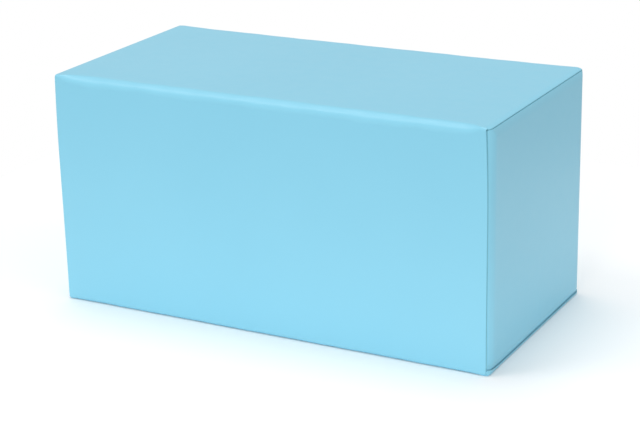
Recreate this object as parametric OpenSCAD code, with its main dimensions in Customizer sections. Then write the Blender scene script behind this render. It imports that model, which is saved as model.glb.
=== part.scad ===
/* [Block] */
// Length of the finished block, along X
block_l = 600; // [400:10:1200]
// Depth of the finished block, front to back
block_w = 300; // [150:10:600]
// Height of the finished block
block_h = 300; // [150:10:600]

/* [Cover] */
// Thickness of the coated cloth
cover_t = 0.9; // [0.6:0.1:1.4]
// Outside radius of the four folds that run along the length
fold_r = 12; // [5:0.5:16]
// How far the middle of an end panel stands out past its seam
end_swell = 7; // [3:0.5:8]
// Width of the rolled border of an end panel, seam to flat middle
roll_w = 18; // [12:1:30]

/* [Seams] */
// Width of the groove that shows at a seam
seam_gap = 1; // [0.6:0.1:2]
// Width of the cloth turned in behind a seam
seam_allowance = 10; // [6:0.5:15]
// Distance of the wrap's joining seam from the back, on the base
join_setback = 40; // [35:1:70]

/* [Foam] */
// Slack between one layer and the next
slack = 0.2; // [0.1:0.05:0.4]

/* [Hidden] */
$fn = 96;

// The end panels' flat middles lie at end_x, and their seams at seam_x
end_x = block_l / 2;
seam_x = end_x - end_swell;

// A rolled border is one arc, roll_w wide and end_swell high, that runs smoothly into the flat middle.
// Its radius is kept to whole steps, so that arc and flat meet exactly
arc_step = 0.01;
roll_r = arc_step * round((roll_w * roll_w + end_swell * end_swell) / (2 * end_swell * arc_step));

// Depths of the layers below the outside of the cover
second_layer = cover_t + slack;
turn_in_depth = second_layer + cover_t;

// The end panels' turned-in edges reach in to turn_in_x, and the joining seam's lie between them
turn_in_x = seam_x - seam_allowance;
join_x = turn_in_x - slack;
join_y = block_w / 2 - join_setback;

// Room by which a cutting shape passes what it cuts
past = 50;

vinyl_colour = [0.58, 0.84, 0.93];
foam_colour = [0.95, 0.91, 0.72];

// Cross-section of the block at a depth below the cover's outside, Y across and Z up
module section(depth) {
    half_w = block_w / 2 - depth;
    corner_r = fold_r - depth;
    translate([-half_w, fold_r])
        square([2 * half_w, block_h - 2 * fold_r]);
    translate([fold_r - block_w / 2, depth])
        square([block_w - 2 * fold_r, block_h - 2 * depth]);
    for (y = [fold_r - block_w / 2, block_w / 2 - fold_r], z = [fold_r, block_h - fold_r])
        translate([y, z])
            circle(corner_r);
}

// A plain area that reaches past the cross-section on every side
module around_section() {
    translate([-block_w / 2 - past, -past])
        square([block_w + 2 * past, block_h + 2 * past]);
}

// A shape drawn across the block, carried along X from x0 to x1
module along_x(x0, x1) {
    translate([x0, 0, 0])
        rotate([90, 0, 90])
            linear_extrude(x1 - x0)
                children();
}

// Outline of the swollen ends between two sides, at a depth below the cover's outside, X across
module swollen_ends(side_0, side_1, depth) {
    translate([depth - end_x, side_0 + roll_w])
        square([2 * (end_x - depth), side_1 - side_0 - 2 * roll_w]);
    translate([roll_r - end_x, side_0 - past])
        square([2 * (end_x - roll_r), side_1 - side_0 + 2 * past]);
    for (x = [roll_r - end_x, end_x - roll_r], side = [side_0 + roll_w, side_1 - roll_w])
        translate([x, side])
            circle(roll_r - depth);
}

// The block with its rolled and swollen ends, below the cover's outside by a depth at the sides and ends
module cushion(side_depth, end_depth) {
    intersection() {
        along_x(-end_x - past, end_x + past)
            section(side_depth);
        translate([0, 0, -past])
            linear_extrude(block_h + 2 * past)
                swollen_ends(-block_w / 2, block_w / 2, end_depth);
        rotate([90, 0, 0])
            linear_extrude(block_w + 2 * past, center = true)
                swollen_ends(0, block_h, end_depth);
    }
}

// The two turned-in edges of the joining seam, side by side on the inside of the base
module joining_edges(clearance) {
    half_l = join_x + clearance;
    half_w = seam_gap / 2 + seam_allowance + clearance;
    base_middle = cover_t / 2;
    edges_top = 2 * cover_t;
    translate([-half_l, join_y - half_w, base_middle])
        cube([2 * half_l, 2 * half_w, edges_top - base_middle + clearance]);
}

// A firm block, cut back under the turned-in cloth
module foam_core() {
    color(foam_colour)
        difference() {
            union() {
                along_x(-join_x, join_x)
                    section(second_layer);
                cushion(turn_in_depth + slack, second_layer);
            }
            joining_edges(slack);
        }
}

// One strip of cloth folded round base, front, top and back, its ends joined on the base
module cover_wrap() {
    wrap_x = seam_x - seam_gap / 2;
    color(vinyl_colour)
        difference() {
            union() {
                along_x(-wrap_x, wrap_x)
                    difference() {
                        section(0);
                        section(cover_t);
                    }
                joining_edges(0);
            }
            translate([-wrap_x - past, join_y - seam_gap / 2, -past])
                cube([2 * (wrap_x + past), seam_gap, 2 * past]);
        }
}

// The right-hand end panel: swollen past its seam, with its edge turned in behind the wrap
module end_panel() {
    rim_x = seam_x + seam_gap / 2;
    color(vinyl_colour)
        difference() {
            cushion(0, 0);
            along_x(-end_x - past, rim_x)
                difference() {
                    around_section();
                    section(second_layer);
                }
            along_x(-end_x - past, turn_in_x)
                around_section();
            cushion(turn_in_depth, cover_t);
        }
}

module end_panel_right() {
    end_panel();
}

module end_panel_left() {
    mirror([1, 0, 0])
        end_panel();
}

foam_core();
cover_wrap();
end_panel_left();
end_panel_right();
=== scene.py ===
# %% [markdown]
# # A soft play foam block
#
# The object is a firm foam block, twice as long as it is deep and high, in a tight sewn cover of satin
# coated cloth. The cover is three panels: one strip wrapped round base, front, top and back, and a
# square panel on each end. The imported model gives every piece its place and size, so the first step
# loads it and reads the block's size from its box.

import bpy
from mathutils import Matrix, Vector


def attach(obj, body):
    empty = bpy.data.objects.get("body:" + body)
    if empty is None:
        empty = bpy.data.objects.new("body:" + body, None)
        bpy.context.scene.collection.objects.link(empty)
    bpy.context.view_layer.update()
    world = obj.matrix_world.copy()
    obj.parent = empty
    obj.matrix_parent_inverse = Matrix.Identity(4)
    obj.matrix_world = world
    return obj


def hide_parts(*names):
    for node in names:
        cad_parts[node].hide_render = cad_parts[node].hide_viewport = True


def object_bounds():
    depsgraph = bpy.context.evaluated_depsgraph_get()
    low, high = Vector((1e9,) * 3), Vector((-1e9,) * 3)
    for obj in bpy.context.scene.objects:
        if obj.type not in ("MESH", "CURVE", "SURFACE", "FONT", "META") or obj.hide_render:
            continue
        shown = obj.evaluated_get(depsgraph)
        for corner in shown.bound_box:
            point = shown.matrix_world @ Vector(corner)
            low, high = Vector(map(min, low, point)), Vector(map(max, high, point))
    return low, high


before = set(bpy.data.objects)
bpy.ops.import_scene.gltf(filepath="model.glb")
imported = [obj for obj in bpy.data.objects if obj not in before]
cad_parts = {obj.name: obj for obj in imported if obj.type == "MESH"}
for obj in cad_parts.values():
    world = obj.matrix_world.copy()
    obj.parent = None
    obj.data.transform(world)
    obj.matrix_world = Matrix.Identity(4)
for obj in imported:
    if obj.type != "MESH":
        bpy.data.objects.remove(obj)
cad_low, cad_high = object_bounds()
print("packed nodes:", sorted(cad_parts))

import bpy
import numpy as np
from mathutils import Matrix

MM = 0.001
# the foam pushes the cover up by a little more than the plain model's height
swell = 3 * MM
half_l, half_w, half_h = (np.array(cad_high) - np.array(cad_low) + [0, 0, swell]) / 2
height = 2 * half_h
print("block in mm:", np.round(2 * np.array([half_l, half_w, half_h]) / MM, 1))

# %% [markdown]
# ## Camera
#
# The block is seen from its right front corner and from a little above, by a long lens a few lengths
# away. The camera could be turned by hand until the edges agree with the photograph. Here its place is
# worked out from the angles instead: a direction from the block to the camera, two axes across it, and
# a small roll, because the photograph isn't quite level.

# %% Place the camera
azimuth, elevation, roll = np.radians([28.295, 18.896, -1.175])
distance = 2.373
aim_right, aim_up = -0.0003, -0.0368
image_px, focal_px = 640, 1847.5

back = np.array([
    np.sin(azimuth) * np.cos(elevation),
    -np.cos(azimuth) * np.cos(elevation),
    np.sin(elevation),
])
level_right = np.array([np.cos(azimuth), np.sin(azimuth), 0])
level_up = np.cross(back, level_right)
right = np.cos(roll) * level_right + np.sin(roll) * level_up
up = np.cos(roll) * level_up - np.sin(roll) * level_right

camera = bpy.data.objects.new("camera", bpy.data.cameras.new("camera"))
bpy.context.scene.collection.objects.link(camera)
camera.data.sensor_width = 36
camera.data.lens = camera.data.sensor_width * focal_px / image_px
place = np.array([0, 0, half_h]) + aim_right * right + aim_up * up + distance * back
pose = np.eye(4)
pose[:3] = np.column_stack([right, up, back, place])
camera.matrix_world = Matrix(pose.tolist())
bpy.context.scene.camera = camera
print("lens in mm:", round(camera.data.lens, 1), "camera at:", np.round(place, 3))

# %% [markdown]
# ## Even light
#
# The block stands on a white table in a bright studio, so much of its light comes evenly from all round.
# A dome of lamps could give that, but a plain world is simpler and has no edges. The satin cloth mirrors it
# a little brighter than it shines, as it would mirror white walls. Where the camera sees the world it is
# full white, so the background stays clean without more light on the block.

# %% World
even_light, mirrored_light = 0.46, 0.63

scene = bpy.context.scene
scene.view_settings.view_transform = "Standard"
world = bpy.data.worlds.new("studio")
world.use_nodes = True
scene.world = world
nodes, links = world.node_tree.nodes, world.node_tree.links


def add_math(operation, first, second):
    """A math node on two values, each a socket or a number."""
    node = nodes.new("ShaderNodeMath")
    node.operation = operation
    for value, socket in zip((first, second), node.inputs):
        if isinstance(value, bpy.types.NodeSocket):
            links.new(value, socket)
        else:
            socket.default_value = value
    return node.outputs[0]


ray = nodes.new("ShaderNodeLightPath").outputs
mirrored = add_math("MULTIPLY", ray["Is Glossy Ray"], mirrored_light - even_light)
strength = add_math("MAXIMUM", add_math("ADD", mirrored, even_light), ray["Is Camera Ray"])
background = nodes["Background"]
background.inputs["Color"].default_value = (1, 1, 1, 1)
links.new(strength, background.inputs["Strength"])
print("even light:", even_light)

# %% [markdown]
# ## Lamps
#
# Four soft lamps do the rest. One overhead lights the top and leaves the shadow round the foot. One hangs
# high on the left and in front, where the upper fold mirrors it as a bright line. One stands low in front,
# and a wide, weak one fills the right end. To find their strengths, each lamp was rendered alone, the
# pictures were weighed until their sum came close to the photograph, and the weights were then trimmed.
# Area lamps would light the near side of the table more than the far side. A sun with a wide angle is as
# soft and falls on everything alike.

# %% Soft lamps
def add_lamp(name, strength, angle, come_from):
    """A sun of so many degrees across, whose light comes from the given direction."""
    lamp = bpy.data.objects.new(name, bpy.data.lights.new(name, "SUN"))
    scene.collection.objects.link(lamp)
    lamp.data.energy = strength
    lamp.data.angle = np.radians(angle)
    towards = np.array(come_from) / np.linalg.norm(come_from)
    side = np.cross([0, 1, 0], towards)
    side /= np.linalg.norm(side)
    lamp.matrix_world = Matrix(np.column_stack([side, np.cross(towards, side), towards]).tolist()).to_4x4()
    print(name, "from", np.round(towards, 2))


add_lamp("lamp_over", 1.05, 30, (-0.12, 0.1, 1))
add_lamp("lamp_high", 0.4, 20, (-0.45, -0.33, 0.83))
add_lamp("lamp_low", 1.04, 20, (0.05, -0.95, 0.17))
add_lamp("lamp_side", 0.5, 60, (0.95, -0.1, 0.3))

# %% [markdown]
# ## Table top
#
# The white table throws light back at the block, most of it near the foot of the front, because the
# table ends a little way off. Photographs of goods have the table lifted to pure white. Here the table's
# colour is a little brighter for the camera than for the light that it throws back, so the lift adds no
# light to the block, and the block's shadow stays.

# %% Table top
floor_reach, floor_gap = 0.7, 0.2 * MM
floor_white, floor_lifted = 0.95, 1.07

floor_paint = bpy.data.materials.new("floor_paint")
floor_paint.use_nodes = True
nodes, links = floor_paint.node_tree.nodes, floor_paint.node_tree.links
paint = nodes["Principled BSDF"]
paint.inputs["Roughness"].default_value = 1
paint.inputs["Specular IOR Level"].default_value = 0
seen = nodes.new("ShaderNodeMapRange")
seen.inputs["To Min"].default_value = floor_white
seen.inputs["To Max"].default_value = floor_lifted
links.new(nodes.new("ShaderNodeLightPath").outputs["Is Camera Ray"], seen.inputs["Value"])
links.new(seen.outputs["Result"], paint.inputs["Base Color"])
floor_mesh = bpy.data.meshes.new("floor")
floor_corners = np.array([[-1, -1, 0], [1, -1, 0], [1, 1, 0], [-1, 1, 0]]) * floor_reach
floor_mesh.from_pydata(floor_corners - [0, 0, floor_gap], [], [(0, 1, 2, 3)])
floor_mesh.materials.append(floor_paint)
floor = bpy.data.objects.new("floor", floor_mesh)
scene.collection.objects.link(floor)
print("table top in m:", 2 * floor_reach)

# %% [markdown]
# ## Coated cloth
#
# The cover is a knitted cloth with a plastic coat, light blue and satin. Close up the coat has a fine
# pebbled grain, and over a hand's width its colour and its gloss vary a little. An image of real cloth
# would need a map laid on every panel. Noise on Object coordinates needs none, and it runs through all
# three panels at the same scale. Hardly any light gets down into a seam or a crease, and in a small picture
# the sunken seam alone is too fine to show that. So shade is painted into the colour: it gets darker where
# the mesh carries a painted shade value, along the lips of the seams, the valleys of the tucks and a crease.

# %% Material of the cover
def add_noise(nodes, links, places, per_metre, detail):
    """A noise pattern with so many blobs to the metre, on the given coordinates."""
    noise = nodes.new("ShaderNodeTexNoise")
    noise.inputs["Scale"].default_value = per_metre
    noise.inputs["Detail"].default_value = detail
    links.new(places, noise.inputs["Vector"])
    return noise.outputs["Fac"]


def vary(nodes, links, factor, low, high):
    """A number that runs from low to high as the factor runs through the middle of its range."""
    spread = nodes.new("ShaderNodeMapRange")
    spread.inputs["From Min"].default_value = 0.3
    spread.inputs["From Max"].default_value = 0.7
    spread.inputs["To Min"].default_value = low
    spread.inputs["To Max"].default_value = high
    links.new(factor, spread.inputs["Value"])
    return spread.outputs["Result"]


def blend_colours(nodes, links, factor, first, second):
    """A colour that runs from first to second with the factor. Each is a socket or three numbers."""
    mix = nodes.new("ShaderNodeMix")
    mix.data_type = "RGBA"
    links.new(factor, mix.inputs["Factor"])
    for value, socket in ((first, mix.inputs["A"]), (second, mix.inputs["B"])):
        if isinstance(value, bpy.types.NodeSocket):
            links.new(value, socket)
        else:
            socket.default_value = (*value, 1)
    return mix.outputs["Result"]


def add_bump(nodes, links, shader, height_value, depth):
    """Fine relief of the given depth in metres, on the shader's normal."""
    bump = nodes.new("ShaderNodeBump")
    bump.inputs["Strength"].default_value = 1
    bump.inputs["Distance"].default_value = depth
    links.new(height_value, bump.inputs["Height"])
    links.new(bump.outputs["Normal"], shader.inputs["Normal"])


blue, paler_blue = (0.257, 0.643, 0.824), (0.267, 0.657, 0.838)
# painted shade: the darker blue that lips, seams, tuck valleys and a crease are painted with
groove_blue = (0.19, 0.5, 0.62)
grain_per_metre, grain_depth = 900, 0.01 * MM


def coated_cloth():
    """Light blue satin coat: even colour with slow drifts, a pebbled grain and slightly uneven gloss."""
    material = bpy.data.materials.new("coated_cloth")
    material.use_nodes = True
    nodes, links = material.node_tree.nodes, material.node_tree.links
    shader = nodes["Principled BSDF"]
    places = nodes.new("ShaderNodeTexCoord").outputs["Object"]
    drift = vary(nodes, links, add_noise(nodes, links, places, 5, 2), 0, 1)
    colour = blend_colours(nodes, links, drift, blue, paler_blue)
    # painted shade: the colour turns towards the darker blue by the value that each point of the mesh carries
    groove = nodes.new("ShaderNodeAttribute")
    groove.attribute_name = "groove"
    shaded = blend_colours(nodes, links, groove.outputs["Fac"], colour, groove_blue)
    links.new(shaded, shader.inputs["Base Color"])
    gloss = add_noise(nodes, links, places, 60, 3)
    links.new(vary(nodes, links, gloss, 0.34, 0.38), shader.inputs["Roughness"])
    shader.inputs["IOR"].default_value = 1.5
    grain = nodes.new("ShaderNodeTexVoronoi")
    grain.feature = "SMOOTH_F1"
    grain.inputs["Scale"].default_value = grain_per_metre
    links.new(places, grain.inputs["Vector"])
    add_bump(nodes, links, shader, grain.outputs["Distance"], grain_depth)
    return material


vinyl = coated_cloth()
print("material:", vinyl.name)

# %% [markdown]
# ## Foam
#
# The core is cut from a slab of open-celled foam. It can't be seen while the cover is closed, but the
# part can be taken to pieces, so it gets a finish of its own: a cream colour, fully matt, with a fine
# relief of cells.

# %% Material of the core
cream, paler_cream = (0.85, 0.76, 0.44), (0.92, 0.85, 0.56)
cells_per_metre, cell_depth = 650, 0.5 * MM


def open_foam():
    """Cream foam: two close colours in blotches, matt, with cells about 1.5 mm wide."""
    material = bpy.data.materials.new("open_foam")
    material.use_nodes = True
    nodes, links = material.node_tree.nodes, material.node_tree.links
    shader = nodes["Principled BSDF"]
    places = nodes.new("ShaderNodeTexCoord").outputs["Object"]
    blotches = add_noise(nodes, links, places, 25, 4)
    blotched = vary(nodes, links, blotches, 0, 1)
    colour = blend_colours(nodes, links, blotched, cream, paler_cream)
    links.new(colour, shader.inputs["Base Color"])
    shader.inputs["Roughness"].default_value = 0.95
    cells = nodes.new("ShaderNodeTexVoronoi")
    cells.inputs["Scale"].default_value = cells_per_metre
    links.new(places, cells.inputs["Vector"])
    add_bump(nodes, links, shader, cells.outputs["Distance"], cell_depth)
    return material


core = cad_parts["foam_core"]
core.data.materials.clear()
core.data.materials.append(open_foam())
print("core takes:", core.data.materials[0].name)

# %% [markdown]
# ## Tight panels
#
# Foam pushes a tight cover out a little in the middle of each panel, and the seams and folds hold its
# border. A bulge could be drawn by hand, but cloth finds a better one: a flat panel is held at its
# border, blown up by Blender's cloth simulation for a few frames, and its heights are read back. Only
# their shape is kept, as shares of the highest point, and each panel takes its own small height from it.

# %% Blow up a panel
pressure, frames = 4, 20


def blown_panel(length, depth, step):
    """Heights over a panel held at its border, as shares from 0 to 1, on an even grid along and across it."""
    across, along = np.meshgrid(
        np.linspace(0, depth, round(depth / step) + 1),
        np.linspace(0, length, round(length / step) + 1),
        indexing="ij",
    )
    rows, columns = across.shape
    points = np.stack([along, across, np.zeros_like(along)], axis=-1)
    numbers = np.arange(rows * columns).reshape(rows, columns)
    quads = np.stack([numbers[:-1, :-1], numbers[:-1, 1:], numbers[1:, 1:], numbers[1:, :-1]], axis=-1)
    mesh = bpy.data.meshes.new("blown_panel")
    mesh.from_pydata(points.reshape(-1, 3), [], quads.reshape(-1, 4).tolist())
    panel = bpy.data.objects.new("blown_panel", mesh)
    scene.collection.objects.link(panel)
    held = panel.vertex_groups.new(name="held")
    border = np.concatenate([numbers[0], numbers[-1], numbers[:, 0], numbers[:, -1]])
    held.add(np.unique(border).tolist(), 1, "REPLACE")
    cloth = panel.modifiers.new("cloth", "CLOTH")
    cloth.settings.vertex_group_mass = "held"
    cloth.settings.use_pressure = True
    cloth.settings.uniform_pressure_force = pressure
    cloth.settings.effector_weights.gravity = 0
    for moment in range(1, frames + 1):
        scene.frame_set(moment)
    result = panel.evaluated_get(bpy.context.evaluated_depsgraph_get()).data
    places = np.empty(3 * rows * columns)
    result.vertices.foreach_get("co", places)
    heights = np.abs(places.reshape(rows, columns, 3)[..., 2])
    bpy.data.objects.remove(panel)
    bpy.data.meshes.remove(mesh)
    scene.frame_set(1)
    return heights / heights.max()


long_bulge = blown_panel(2 * half_l, height, 12 * MM)
end_bulge = blown_panel(2 * half_w, height, 10 * MM)
print("bulge grids:", long_bulge.shape, end_bulge.shape)

# %% Read a bulge between its grid points
def bulge_at(bulge, along, across):
    """Height share at places given as shares of the panel, by straight lines between grid points."""
    rows, columns = bulge.shape
    u = np.clip(along, 0, 1) * (columns - 1)
    v = np.clip(across, 0, 1) * (rows - 1)
    i = np.minimum(u.astype(int), columns - 2)
    j = np.minimum(v.astype(int), rows - 2)
    du, dv = u - i, v - j
    near = bulge[j, i] * (1 - du) + bulge[j, i + 1] * du
    far = bulge[j + 1, i] * (1 - du) + bulge[j + 1, i + 1] * du
    return near * (1 - dv) + far * dv


print("bulge a quarter of the way in:", round(float(bulge_at(long_bulge, np.array(0.25), np.array(0.25))), 2))

# %% [markdown]
# ## The way round the block
#
# The strip is one length of cloth: it starts at a joining seam under the base, runs to the front, up,
# over the top, down the back and under again to the seam. Such a path could be a curve object, but the
# folds are tighter near the seams than in the middle, so the radius has to stay open. Each station on
# the path therefore has only a place on an inner rectangle, as shares of its half depth and half
# height, and a facing. Along a side the place moves, and round a fold the facing turns.

# %% Stations round the strip
join_setback, join_half_gap = 40 * MM, 1.3 * MM
join_front, join_back = 1 - (join_setback + np.array([join_half_gap, -join_half_gap])) / half_w
# depth share, height share and facing in degrees, at each stop on the way round
stops = np.array([
    (join_front, -1, -90),
    (-1, -1, -90),
    (-1, -1, -180),
    (-1, 1, -180),
    (-1, 1, -270),
    (1, 1, -270),
    (1, 1, -360),
    (1, -1, -360),
    (1, -1, -450),
    (join_back, -1, -450),
])
# base, fold, front, fold, top, fold, back, fold, base
station_counts = (60, 14, 100, 16, 100, 14, 70, 14, 12)


def shares(count):
    """Shares from 0 to 1 that lie closer at both ends: the mean of even steps and of (1 - cos) / 2 of an even
    angle. The last, 1, is left out."""
    even = np.arange(count) / count
    return (even + (1 - np.cos(np.pi * even)) / 2) / 2


legs = [leg + shares(count) for leg, count in enumerate(station_counts)]
station = np.append(np.concatenate(legs), len(stops) - 1)


def at_stations(values):
    """A value given at the ten stops, carried along the stations in straight lines."""
    return np.interp(station, np.arange(len(stops)), values)


share_y, share_z = at_stations(stops[:, 0]), at_stations(stops[:, 1])
facing = np.radians(at_stations(stops[:, 2]))
out_y, out_z = np.cos(facing), np.sin(facing)
print("stations round the strip:", len(station))

# %% [markdown]
# ## Folds
#
# The upper folds are rounder than the lower ones, which the block's weight presses flat, and both get
# tighter where a seam draws the cloth in. Cut foam isn't quite even either, so the radius drifts a little
# along the block, by the sum of a long and a short wave. The outline at any place along the block is the
# inner rectangle pushed out by the fold's radius there.

# %% Outline of the strip
def fold_radius(gap):
    """Fold radius at each station, for columns that lie a gap from a seam: it falls off towards the seam."""
    open_radius = at_stations([5, 5, 5, 13, 13, 8, 8, 5, 5, 5])[:, None] * MM
    taper = at_stations([13, 13, 13, 13, 13, 40, 40, 13, 13, 13])[:, None] * MM
    seam_radius = 3 * MM
    return open_radius + (seam_radius - open_radius) * np.exp(-gap / taper)


# share of the radius, length and start of each wave, and how near a seam they fade
waves = [(0.07, 131 * MM, 0.6), (0.05, 47 * MM, 2.1)]
wave_fade = 30 * MM


def unevenness(x, gap):
    """Drift of the fold radius along the block: 1 plus the sum of the waves, which is gone at the seams."""
    drift = sum(share * np.sin(2 * np.pi * x / length + start) for share, length, start in waves)
    return 1 + drift * np.clip(gap / wave_fade, 0, 1)


def outline(radius):
    """Places y and z on the outside: the inner rectangle, pushed out by the radius along the facing."""
    y = share_y[:, None] * (half_w - radius) + radius * out_y[:, None]
    z = half_h + share_z[:, None] * (half_h - radius) + radius * out_z[:, None]
    return y, z


seam_y, seam_z = outline(fold_radius(np.zeros((1, 1))))
seam_y, seam_z = seam_y[:, 0], seam_z[:, 0]
print("lowest and highest outline in mm:", round(seam_z.min() / MM, 2), round(seam_z.max() / MM, 2))

# %% [markdown]
# ## Seams
#
# At a seam the strip bends in towards the end panel, the panel rolls back towards the strip, and both
# edges turn in, which leaves a narrow furrow, dark from its own shade and from shade painted on the lips. On
# the top and the back the strip bends by about a quarter of a right angle at the right end and by less at
# the left, and on the front hardly at all. The base comes up round the lower edge as a narrow border. At
# the near right foot that border is higher, because the corner was gathered there.

# %% Bend of the strip at a seam
lip_radius = 0.8 * MM
# distance from the lip's start to the line where strip and panel would meet without lips
setback = 0.7 * MM
lip_turn = np.radians(at_stations([60, 60, 95, 95, 95, 95, 95, 95, 60, 60]))
# past the lip the edge runs on into the block, and closes the groove
edge_run = at_stations([0.4, 0.4, 0.7, 0.7, 0.7, 0.7, 0.7, 0.7, 0.4, 0.4]) * MM
bend_length = at_stations([2.5, 2.5, 3.2, 3.2, 8, 8, 7, 7, 2.5, 2.5]) * MM
on_base = at_stations([1, 1, 0, 0, 0, 0, 0, 0, 1, 1])
# the border of the base rises straight up, also round the lower folds, and all the others bend in
upright = np.clip(2 * on_base, 0, 1)
in_y, in_z = -out_y * (1 - upright), -out_z * (1 - upright) + upright
foot_seam, least_rise = 3 * MM, 0.3 * MM
gather_length = 18 * MM


def gathered(y):
    """Share of the gathered corner in the base's border: full at the front, and soon gone behind it."""
    return np.exp(-np.abs((y + half_w) / gather_length) ** 1.5)


def bends(top, back):
    """The strip's bend at each station, given in degrees for its top and its back."""
    return np.radians(at_stations([80, 80, 3, 3, top, top, back, back, 80, 80]))


def border_share(gather):
    """Share of the base's border at each station. A gathered near foot keeps it half way round the fold."""
    return np.where((share_y < 0) & (gather > 0), upright, on_base)


def border_rise(bend, gather):
    """Straight part of the strip's border, after its bend and before its lip. The base has most of it."""
    border = foot_seam + gather * gathered(seam_y)
    rise = (border - bend_length / bend * (1 - np.cos(bend))) / np.sin(bend) - setback
    share = border_share(gather)
    return share * np.maximum(rise, least_rise) + (1 - share) * least_rise


print("setback in mm:", round(setback / MM, 2))

# %% [markdown]
# ## Rolled ends
#
# An end panel is flat in the middle and rolls back along its four borders. Each border is a parabola:
# deepest at the seam, and smooth where it meets the flat. Where two borders meet in a corner, a smooth
# maximum of both keeps one surface. The same function gives the panel its shape and the strip the line
# where it has to end, so the two always meet.

# %% Depth of a rolled end
def roll(gap, depth, width):
    """A parabola that falls from depth at the seam to nothing at the width."""
    return depth * np.clip(1 - np.maximum(gap, 0) / width, 0, 1) ** 2


def rolled_end(y, z, end):
    """How far the end lies behind its flat middle: the cube root of the summed cubes of its four borders."""
    foot_depth, top_depth, width, bow = end["front"]
    up = np.clip(z / height, 0, 1)
    depth = foot_depth + (top_depth - foot_depth) * up - bow * np.sin(np.pi * up**2)
    borders = [
        roll(y + half_w, depth, width),
        roll(height - z - end["inset"], *end["others"]),
        roll(half_w - y - end["inset"], *end["others"]),
        roll(z - foot_seam, *end["others"]),
    ]
    return np.sum(np.array(borders) ** 3, axis=0) ** (1 / 3)


# front: depth of the border's roll at the foot and at the top, its width, and how far its seam bows.
# others: depth and width of the other borders' rolls. inset: how far the seam lies inside the top and the
# back. bend: the strip's bends
ends = {
    "right": dict(
        front=(4.4 * MM, 7.4 * MM, 16 * MM, 1.8 * MM),
        others=(3 * MM, 13 * MM),
        inset=1.8 * MM,
        bend=bends(24, 20),
    ),
    "left": dict(
        front=(2.9 * MM, 2.9 * MM, 12 * MM, 1.4 * MM),
        others=(2.6 * MM, 12 * MM),
        inset=0.5 * MM,
        bend=bends(6, 6),
    ),
}
print("ends:", list(ends))

# %% Line of a seam
lap = 1.8 * MM


def seam_line(end, gather=0):
    """Where strip and panel would meet: the outline moved in by the strip's bend, and back by the roll. The
    base's border laps over the panel, so it lies a lap further out."""
    bend = end["bend"]
    straight = border_rise(bend, gather) + setback
    inset = bend_length / bend * (1 - np.cos(bend)) + straight * np.sin(bend)
    y, z = seam_y + inset * in_y, seam_z + inset * in_z
    x = half_l - rolled_end(y, z, end) + lap * border_share(gather)
    reach = bend_length / bend * np.sin(bend) + straight * np.cos(bend)
    return x, y, z, x - reach


for side, end in ends.items():
    x, y, z, start = seam_line(end)
    print(side, "seam x from", round(x.min() / MM, 1), "to", round(x.max() / MM, 1), "mm")

# %% [markdown]
# ## The strip
#
# The strip is one grid: stations round the block by columns along it. Most columns lie on the outline,
# bulged by the blown panel. At each end follow the columns of the seam: an arc that bends the strip in, a
# straight part, and the lip. On the near foot the straight part is the gathered border, with two tucks
# that fade away from the corner. Each point also carries a value of painted shade, which rises along the lip
# and in the valleys of the tucks.

# %% Grid to mesh
def add_surface(name, points, groove, material, closed_round=False, cap=False):
    """A mesh from points (rows, columns, 3), one quad to a grid cell, with a painted shade value for each
    point.
    closed_round joins the last row to the first, and cap closes the last column, which lies round one point,
    with triangles to that point."""
    rows, columns = points.shape[:2]
    numbers = np.arange(rows * columns).reshape(rows, columns)
    if closed_round:
        numbers = np.vstack([numbers, numbers[:1]])
    quads = np.stack([numbers[:-1, :-1], numbers[:-1, 1:], numbers[1:, 1:], numbers[1:, :-1]], axis=-1)
    faces = quads.reshape(-1, 4).tolist()
    vertices = points.reshape(-1, 3)
    groove = groove.ravel()
    if cap:
        middle = len(vertices)
        vertices = np.vstack([vertices, points[:, -1].mean(axis=0)])
        groove = np.append(groove, 0)
        rim = numbers[:, -1]
        faces += np.stack([rim[:-1], np.full(len(rim) - 1, middle), rim[1:]], axis=-1).tolist()
    mesh = bpy.data.meshes.new(name)
    mesh.from_pydata(vertices, [], faces)
    mesh.polygons.foreach_set("use_smooth", np.ones(len(mesh.polygons), bool))
    # painted shade: each point's value darkens the cover's colour there
    mesh.attributes.new("groove", "FLOAT", "POINT").data.foreach_set("value", groove)
    mesh.materials.append(material)
    piece = bpy.data.objects.new(name, mesh)
    scene.collection.objects.link(piece)
    print(name, "faces:", len(mesh.polygons))
    return piece


# %% Columns at one end of the strip
arc_steps = np.arange(1, 7) / 6
rise_steps = np.arange(1, 19) / 18
lip_steps = np.arange(1, 9) / 8
edge_steps = np.arange(1, 4) / 3
# valley_tightness: how narrow the painted shade in the valleys between the tucks is
tucks, tuck_height, valley_tightness = 2, 0.35 * MM, 1.3


def tuck_fade(gather):
    """Share of the tucks at each station, as one column: only where the base's border is gathered."""
    return (on_base * gathered(seam_y) * (gather > 0))[:, None]


def end_groove(gather=0):
    """Painted shade for the columns of one seam: in the valleys between the tucks, and ever darker along the
    lip.
    """
    height_share = np.abs(np.sin(tucks * np.pi * rise_steps))
    valley = tuck_fade(gather) * np.clip(1 - valley_tightness * height_share, 0, 1)
    one = np.ones((len(station), 1))
    return np.hstack([0 * one * arc_steps, valley, one * lip_steps, one + 0 * edge_steps])


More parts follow.
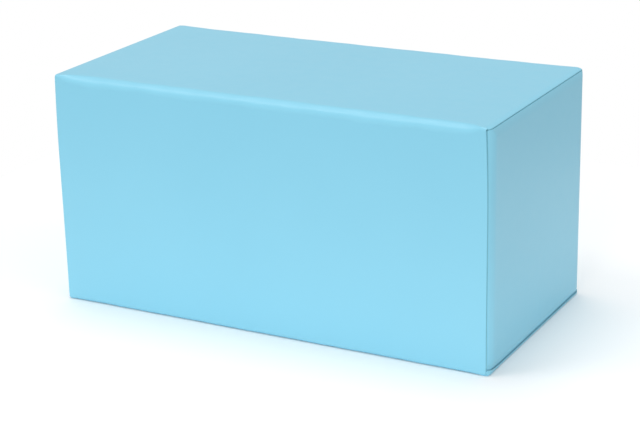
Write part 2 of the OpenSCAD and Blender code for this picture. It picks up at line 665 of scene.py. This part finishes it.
def end_columns(bend, start, gather=0):
    """Columns of one seam as distance along X and inset: arc, straight part and lip, one after another."""
    turn = bend[:, None] * arc_steps
    radius = (bend_length / bend)[:, None]
    arc_x, arc_in = radius * np.sin(turn), radius * (1 - np.cos(turn))
    ahead, inward = np.cos(bend)[:, None], np.sin(bend)[:, None]
    rise = border_rise(bend, gather)[:, None] * rise_steps
    tuck = tuck_height * tuck_fade(gather) * np.abs(np.sin(tucks * np.pi * rise_steps))
    rise_x = arc_x[:, -1:] + ahead * rise + inward * tuck
    rise_in = arc_in[:, -1:] + inward * rise - ahead * tuck
    curl = lip_turn[:, None] * lip_steps
    lip_ahead, lip_in = lip_radius * np.sin(curl), lip_radius * (1 - np.cos(curl))
    lip_x = rise_x[:, -1:] + ahead * lip_ahead - inward * lip_in
    lip_inset = rise_in[:, -1:] + inward * lip_ahead + ahead * lip_in
    run = edge_run[:, None] * edge_steps
    run_x = lip_x[:, -1:] + np.cos(bend + lip_turn)[:, None] * run
    run_in = lip_inset[:, -1:] + np.sin(bend + lip_turn)[:, None] * run
    along = start[:, None] + np.hstack([arc_x, rise_x, lip_x, run_x])
    inset = np.hstack([arc_in, rise_in, lip_inset, run_in])
    y = seam_y[:, None] + inset * in_y[:, None]
    z = seam_z[:, None] + inset * in_z[:, None]
    return np.stack([along, y, z], axis=-1)


print("columns at a seam:", end_groove().shape[1])

# %% Columns between the seams
column_shares = np.append(shares(70), 1)
bulge_heights = np.array([0, 0, 1.2, 1.2, 1.0, 1.0, 1.2, 1.2, 0, 0]) * MM


def middle_columns(left_start, right_start):
    """Columns on the outline from one seam's start to the other's, pushed out by the blown panel."""
    x = -left_start[:, None] + column_shares * (left_start + right_start)[:, None]
    gap = np.minimum(x + left_start[:, None], right_start[:, None] - x)
    y, z = outline(fold_radius(gap) * unevenness(x, gap))
    across = station - np.floor(station)
    on_side = np.isin(np.floor(station), [2, 4, 6])
    rise = bulge_at(long_bulge, column_shares[None, :], across[:, None])
    rise *= (at_stations(bulge_heights) * on_side)[:, None]
    y += rise * out_y[:, None]
    z += rise * out_z[:, None]
    return np.stack([x, y, z], axis=-1)


near_gather = 4.5 * MM
left_start = seam_line(ends["left"])[3]
right_start = seam_line(ends["right"], near_gather)[3]
left_columns = end_columns(ends["left"]["bend"], left_start)[:, ::-1] * [-1, 1, 1]
right_columns = end_columns(ends["right"]["bend"], right_start, near_gather)
strip_points = np.concatenate([left_columns, middle_columns(left_start, right_start), right_columns], axis=1)


def turned_in(edge, side):
    """Rows that turn an edge of the strip in by a quarter circle, towards the given side in Y."""
    along = np.gradient(edge, axis=0)
    along /= np.linalg.norm(along, axis=1, keepdims=True)
    inward = np.stack([-along[:, 2], np.zeros(len(edge)), along[:, 0]], axis=-1)
    turn = (np.pi / 2 * lip_steps)[:, None, None]
    return edge + lip_radius * (np.sin(turn) * np.array([0, side, 0]) + (1 - np.cos(turn)) * inward)


front_edge, back_edge = turned_in(strip_points[0], 1), turned_in(strip_points[-1], -1)
plain = np.zeros((len(station), len(column_shares)))
strip_groove = np.hstack([end_groove()[:, ::-1], plain, end_groove(near_gather)])
# painted shade along the strip's turned-in front and back edges
edge_groove = lip_steps[:, None] + np.zeros((1, strip_groove.shape[1]))
strip = add_surface(
    "cover_wrap_cloth",
    np.concatenate([front_edge[::-1], strip_points, back_edge]),
    np.concatenate([edge_groove[::-1], strip_groove, edge_groove]),
    vinyl,
)

# %% [markdown]
# ## The end panels
#
# An end panel is a square with rounded corners, so its grid runs round the border and in rings to the
# middle. The rings lie close together near the seam, where the panel rolls back, and the last one is
# closed by triangles. Outside the first ring come the columns of the lip. Above the gathered foot the right
# panel has a faint crease, with shade painted along it as on the lips.

# %% Panel in rings
ring_gaps = np.concatenate([np.linspace(0, 24, 41), np.linspace(30, 144, 16)]) * MM
# from the seam to the first ring, and from the floor
ring_margin, base_margin = 2.2 * MM, 2.0 * MM
panel_corner = 1.5 * MM
edge_radius, edge_length = 1.0 * MM, 3 * MM


def first_ring(inset):
    """The border of a panel: a rectangle with round corners, a margin inside the seam."""
    low = np.array([-half_w + ring_margin, base_margin])
    high = np.array([half_w, height]) - inset - ring_margin
    middle, inner = (low + high) / 2, (high - low) / 2 - panel_corner
    y = middle[0] + share_y[:-1] * inner[0] + panel_corner * out_y[:-1]
    z = middle[1] + share_z[:-1] * inner[1] + panel_corner * out_z[:-1]
    return y, z, middle


end_bulge_height = 1.2 * MM
crease_above, crease_half_width, crease_length = 4.5 * MM, 2 * MM, 40 * MM
# depth of the crease, and how dark the shade painted along it is
near_crease, crease_shade = 0.4 * MM, 0.6


def foot_crease(y, z):
    """Share of the crease that runs above the gathered foot: a narrow bell across it, fading along it."""
    above = z - foot_seam - crease_above * (1 + gathered(y))
    return np.exp(-((above / crease_half_width) ** 2)) * np.exp(-(y + half_w) / crease_length)


def panel_points(end, crease_depth=0):
    """Rings of one end panel from its turned-in edge to the middle. The edge leaves the first ring along the
    panel's slope, curls until it runs straight back, and ends behind the strip. Painted shade values come
    too."""
    y, z, middle = first_ring(end["inset"])
    towards_y, towards_z = out_y[:-1], out_z[:-1]
    step = 0.1 * MM
    behind = rolled_end(y - step * towards_y, z - step * towards_z, end)
    tilt = np.arctan((rolled_end(y, z, end) - behind) / step)
    shrink = 1 - ring_gaps / half_w
    ring_y = middle[0] + (y - middle[0])[:, None] * shrink
    ring_z = middle[1] + (z - middle[1])[:, None] * shrink
    bulge = end_bulge_height * bulge_at(end_bulge, ring_y / (2 * half_w) + 0.5, ring_z / height)
    crease = foot_crease(ring_y, ring_z) * (crease_depth > 0)
    ring_x = half_l - rolled_end(ring_y, ring_z, end) + bulge - crease_depth * crease
    curl = (np.pi / 2 - tilt)[:, None] * lip_steps
    ahead, inward = edge_radius * np.sin(curl), edge_radius * (1 - np.cos(curl))
    sine, cosine = np.sin(tilt)[:, None], np.cos(tilt)[:, None]
    curl_x = ring_x[:, :1] - sine * ahead - cosine * inward
    curl_out = cosine * ahead - sine * inward
    edge_x = np.hstack([curl_x, curl_x[:, -1:] - edge_length * edge_steps])
    edge_out = np.hstack([curl_out, np.repeat(curl_out[:, -1:], len(edge_steps), axis=1)])
    edge_y = y[:, None] + towards_y[:, None] * edge_out
    edge_z = z[:, None] + towards_z[:, None] * edge_out
    edge = np.stack([edge_x, edge_y, edge_z], axis=-1)
    rings = np.stack([ring_x, ring_y, ring_z], axis=-1)
    # painted shade along the panel's turned-in edge, and along the crease
    edge_groove = np.append(lip_steps, np.ones(len(edge_steps))) + np.zeros((len(y), 1))
    groove = np.hstack([edge_groove[:, ::-1], crease_shade * crease])
    return np.concatenate([edge[:, ::-1], rings], axis=1), groove


right_points, right_groove = panel_points(ends["right"], near_crease)
right_panel = add_surface("end_panel_right_cloth", right_points, right_groove, vinyl, True, True)
left_points, left_groove = panel_points(ends["left"])
left_points = left_points[::-1] * [-1, 1, 1]
left_panel = add_surface("end_panel_left_cloth", left_points, left_groove[::-1], vinyl, True, True)

# %% [markdown]
# ## Thickness and place in the part
#
# The cloth is about 0.9 mm thick. A Solidify modifier gives every panel that thickness on its inside, so
# each is a closed piece that could be lifted off. Each panel then rides on the block's one body, stands
# for its plain solid and takes its material slot.

# %% Finish the panels
cloth_thickness = 0.9 * MM
for piece, node in [(strip, "cover_wrap"), (right_panel, "end_panel_right"), (left_panel, "end_panel_left")]:
    wall = piece.modifiers.new("cloth", "SOLIDIFY")
    wall.thickness = cloth_thickness
    wall.offset = -1
    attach(piece, "root")
    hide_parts(node)
    print(piece.name, "stands for", node, "with cloth of", round(cloth_thickness / MM, 2), "mm")
